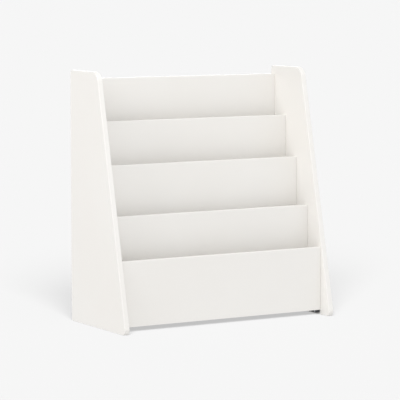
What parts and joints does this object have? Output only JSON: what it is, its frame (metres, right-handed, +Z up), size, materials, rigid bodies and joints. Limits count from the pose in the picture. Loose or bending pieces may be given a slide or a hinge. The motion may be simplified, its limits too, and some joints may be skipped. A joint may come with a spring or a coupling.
{
  "type": "children's front-facing bookcase",
  "caption": "White bookcase whose upright boards climb in steps between sloping side panels, with a narrow book pocket behind each board.",
  "frame": {"origin": "on the floor, under the middle of the bookcase's outer box", "axes": "+X to the right seen from the front, +Y towards the back, +Z up; the books face -Y"},
  "size_m": [0.68, 0.3142, 0.708],
  "materials": {
    "white_lacquer": "satin white lacquer on MDF",
    "zinc_steel": "bright zinc plate",
    "zinc_casting": "tumbled zinc die casting",
    "white_plastic": "moulded white polyethylene",
    "beech": "bare fluted beech",
    "dark_plastic": "fine-textured dark plastic"
  },
  "bodies": {
    "root": {"side_panel_left": "white_lacquer", "side_panel_right": "white_lacquer", "front_board_1": "white_lacquer", "front_board_2": "white_lacquer", "front_board_3": "white_lacquer", "front_board_4": "white_lacquer", "back_panel": "white_lacquer", "pocket_floor_1": "white_lacquer", "pocket_floor_2": "white_lacquer", "pocket_floor_3": "white_lacquer", "pocket_floor_4": "white_lacquer", "rear_rail": "white_lacquer", "cam_bolts": "zinc_steel", "cam_locks": "zinc_casting", "cam_caps": "white_plastic", "dowels": "beech", "floor_screws": "zinc_steel", "base_block_left": "dark_plastic", "base_block_right": "dark_plastic", "block_screws": "zinc_steel"}
  },
  "joints": []
}
